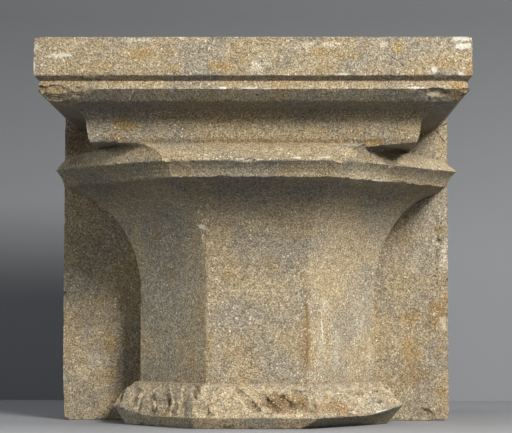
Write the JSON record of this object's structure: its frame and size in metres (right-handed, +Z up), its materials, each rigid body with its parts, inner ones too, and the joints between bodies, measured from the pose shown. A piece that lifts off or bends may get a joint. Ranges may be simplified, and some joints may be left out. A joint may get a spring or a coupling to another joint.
{
  "type": "engaged column base with shaft",
  "caption": "Stone wall respond in one piece: moulded square slab, eight sided ledge, hollow bell, half octagonal shaft and a broken ring on a flat wall block.",
  "frame": {"origin": "on the bed plane, under the middle of the stone's width and depth", "axes": "+X along the width, to the right seen from the carved front; -Y is the carved front, +Y the flat back; +Z up"},
  "size_m": [0.46, 0.4, 0.414],
  "materials": {
    "stone": "weathered, coarse grained, tooled matt stone with chipped arrises"
  },
  "bodies": {
    "root": {"carved_stone": "stone"}
  },
  "joints": []
}
